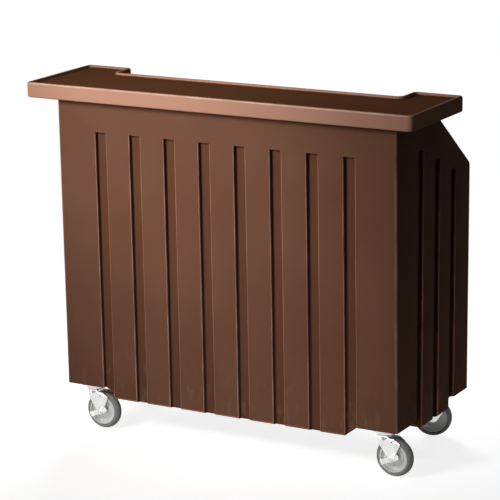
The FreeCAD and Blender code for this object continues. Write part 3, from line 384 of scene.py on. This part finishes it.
materials = {
    # Flutes get a painted shade colour, and their edges and the front corners a painted highlight colour
    "body_plastic": moulded_plastic(
        "body_plastic", dark=(0.126, 0.0565, 0.034), light=(0.147, 0.0675, 0.042), sheen=0.003,
        shade_colour=(0.076, 0.028, 0.014), highlight_colour=(0.480, 0.258, 0.182),
    ),
    # Counter colour lighter than the body's: partly its own tone, partly a painted sheen of the apron; the
    # top inside the lip gets a painted shade colour and the lip's front edge a painted highlight colour
    "counter_plastic": moulded_plastic(
        "counter_plastic", dark=(0.372, 0.193, 0.132), light=(0.408, 0.214, 0.148), sheen=0.0,
        surface=(0.145, 0.056, 0.026), highlight_colour=(0.760, 0.530, 0.410),
    ),
    "deck_plastic": sheet_plastic(
        "deck_plastic", dark=(0.118, 0.053, 0.035), light=(0.142, 0.064, 0.042), roughness=(0.36, 0.50)
    ),
    "liner_plastic": sheet_plastic(
        "liner_plastic", dark=(0.62, 0.60, 0.54), light=(0.70, 0.68, 0.62), roughness=(0.28, 0.42)
    ),
    "jacket_plastic": moulded_plastic(
        "jacket_plastic", dark=(0.085, 0.042, 0.030), light=(0.100, 0.050, 0.036), sheen=0.20
    ),
    "cover_plastic": sheet_plastic(
        "cover_plastic", dark=(0.64, 0.63, 0.58), light=(0.72, 0.71, 0.66), roughness=(0.22, 0.38)
    ),
    "track_plastic": sheet_plastic(
        "track_plastic", dark=(0.060, 0.034, 0.026), light=(0.078, 0.045, 0.034), roughness=(0.34, 0.48)
    ),
    "pipe_plastic": sheet_plastic(
        "pipe_plastic", dark=(0.66, 0.66, 0.63), light=(0.74, 0.74, 0.71), roughness=(0.26, 0.36)
    ),
    "angle_metal": metal(
        "angle_metal", dark=(0.62, 0.62, 0.63), light=(0.72, 0.72, 0.73), roughness=(0.30, 0.46),
        stretch=(1.0, 0.06, 1.0), grain=220.0, relief=0.06,
    ),
    "stainless": metal(
        "stainless", dark=(0.56, 0.56, 0.55), light=(0.66, 0.66, 0.65), roughness=(0.20, 0.38),
        stretch=(0.03, 1.0, 1.0), grain=420.0, relief=0.08,
    ),
    "zinc_steel": metal(
        "zinc_steel", dark=(0.72, 0.72, 0.71), light=(0.86, 0.86, 0.85), roughness=(0.26, 0.42),
        stretch=(1.0, 1.0, 1.0), grain=180.0, relief=0.05,
    ),
    "bright_steel": metal(
        "bright_steel", dark=(0.64, 0.64, 0.63), light=(0.78, 0.78, 0.77), roughness=(0.20, 0.34),
        stretch=(1.0, 1.0, 1.0), grain=260.0, relief=0.04,
    ),
    "valve_brass": metal(
        "valve_brass", dark=(0.62, 0.43, 0.18), light=(0.74, 0.54, 0.25), roughness=(0.22, 0.36),
        stretch=(1.0, 0.2, 1.0), grain=240.0, relief=0.05,
    ),
    "handle_paint": sheet_plastic(
        "handle_paint", dark=(0.018, 0.018, 0.019), light=(0.030, 0.030, 0.031), roughness=(0.32, 0.46)
    ),
    "wheel_core": sheet_plastic(
        "wheel_core", dark=(0.76, 0.77, 0.75), light=(0.86, 0.87, 0.85), roughness=(0.30, 0.44)
    ),
    "tyre": tyre_rubber("tyre"),
}


def dress_solids():
    """Gives every solid the material of its slot and smooth shading on its rounded faces."""
    for entry in frame["record"]["subparts"]:
        piece = nodes[entry["node"]]
        material = materials[entry["material_slot"]]
        if not piece.material_slots:
            piece.data.materials.append(material)
        for slot in piece.material_slots:
            slot.material = material
        weld = piece.modifiers.new("weld", "WELD")
        weld.merge_threshold = weld_distance
        split = piece.modifiers.new("sharp_edges", "EDGE_SPLIT")
        split.split_angle = math.radians(smooth_angle)
        piece.data.polygons.foreach_set("use_smooth", [True] * len(piece.data.polygons))


# Stage

def background_ray(tree):
    """1 for rays that show the background: camera, mirror-like and see-through rays."""
    path = tree.nodes.new("ShaderNodeLightPath")
    total = path.outputs["Is Camera Ray"]
    for name in ("Is Glossy Ray", "Is Transmission Ray"):
        larger = tree.nodes.new("ShaderNodeMath")
        larger.operation = "MAXIMUM"
        tree.links.new(total, larger.inputs[0])
        tree.links.new(path.outputs[name], larger.inputs[1])
        total = larger.outputs["Value"]
    return total


def make_floor():
    """Pale floor that keeps the shadow close to the bar and fades to white further out."""
    half = floor_size / 2
    corners = [(-half, -half, 0.0), (half, -half, 0.0), (half, half, 0.0), (-half, half, 0.0)]
    mesh = bpy.data.meshes.new("floor")
    mesh.from_pydata(corners, [], [(0, 1, 2, 3)])
    floor = bpy.data.objects.new("floor", mesh)
    bpy.context.scene.collection.objects.link(floor)
    shader = Shader("floor")
    shader.tree.nodes.remove(shader.surface)
    length = shader.add("ShaderNodeVectorMath", operation="LENGTH")
    shader.link(shader.place, length.inputs[0])
    far = shader.rise(length.outputs["Value"], floor_fade)
    lift = shader.span(far, (0.0, 1.0), (floor_lift, background_strength))
    emission = shader.add("ShaderNodeEmission")
    emission.inputs["Color"].default_value = white
    shader.link(shader.multiply(lift, background_ray(shader.tree)), emission.inputs["Strength"])
    diffuse = shader.add("ShaderNodeBsdfDiffuse")
    shader.link(shader.ramp(far, (0.0, 1.0), (floor_colour, black)), diffuse.inputs["Color"])
    both = shader.add("ShaderNodeAddShader")
    shader.link(diffuse.outputs["BSDF"], both.inputs[0])
    shader.link(emission.outputs["Emission"], both.inputs[1])
    shader.link(both.outputs["Shader"], shader.tree.nodes["Material Output"].inputs["Surface"])
    mesh.materials.append(shader.material)


def make_world():
    """White behind the bar, with a lower level of light on it."""
    world = bpy.data.worlds.new("studio")
    world.use_nodes = True
    bpy.context.scene.world = world
    tree = world.node_tree
    background = tree.nodes["Background"]
    background.inputs["Color"].default_value = white
    level = tree.nodes.new("ShaderNodeMapRange")
    level.inputs["To Min"].default_value = ambient_strength
    level.inputs["To Max"].default_value = background_strength
    tree.links.new(background_ray(tree), level.inputs["Value"])
    tree.links.new(level.outputs["Result"], background.inputs["Strength"])


def area_light(name, place, aim, width, height, power, spread):
    lamp = bpy.data.lights.new(name, "AREA")
    lamp.shape = "RECTANGLE"
    lamp.size = width
    lamp.size_y = height
    lamp.energy = power
    lamp.spread = math.radians(spread)
    holder = bpy.data.objects.new(name, lamp)
    bpy.context.scene.collection.objects.link(holder)
    holder.visible_camera = False
    holder.location = place
    holder.rotation_euler = (Vector(aim) - Vector(place)).to_track_quat("-Z", "Y").to_euler()


def make_lights():
    """A key lamp on the upper left of the front, a low fill in front, and a lamp on the server's side."""
    area_light(
        "key", place=(-0.90, -2.45, 1.90), aim=(-0.20, -0.30, 1.06), width=1.0, height=0.7,
        power=9.0, spread=52.0,
    )
    area_light(
        "fill", place=(0.9, -4.2, 0.60), aim=(0.0, -0.2, 0.02), width=1.2, height=0.8,
        power=2.5, spread=32.0,
    )
    area_light(
        "rear", place=(-1.5, 2.2, 1.65), aim=(-0.1, 0.1, 0.80), width=0.9, height=0.9,
        power=46.0, spread=180.0,
    )


def make_camera():
    azimuth = math.radians(camera_azimuth)
    elevation = math.radians(camera_elevation)
    roll = math.radians(camera_roll)
    level_back = Vector((math.sin(azimuth), -math.cos(azimuth), 0.0))
    level_right = Vector((math.cos(azimuth), math.sin(azimuth), 0.0))
    back = level_back * math.cos(elevation) + Vector((0.0, 0.0, math.sin(elevation)))
    level_up = back.cross(level_right)
    right = level_right * math.cos(roll) + level_up * math.sin(roll)
    up = level_up * math.cos(roll) - level_right * math.sin(roll)
    lens = bpy.data.cameras.new("camera")
    lens.sensor_width = camera_sensor
    lens.lens = camera_lens
    lens.dof.use_dof = False
    camera = bpy.data.objects.new("camera", lens)
    bpy.context.scene.collection.objects.link(camera)
    turn = Matrix((right, up, back)).transposed().to_4x4()
    camera.matrix_world = Matrix.Translation(camera_aim + back * camera_distance) @ turn
    bpy.context.scene.camera = camera


dress_solids()
make_floor()
make_world()
make_lights()
make_camera()
bpy.context.scene.view_settings.view_transform = "Standard"
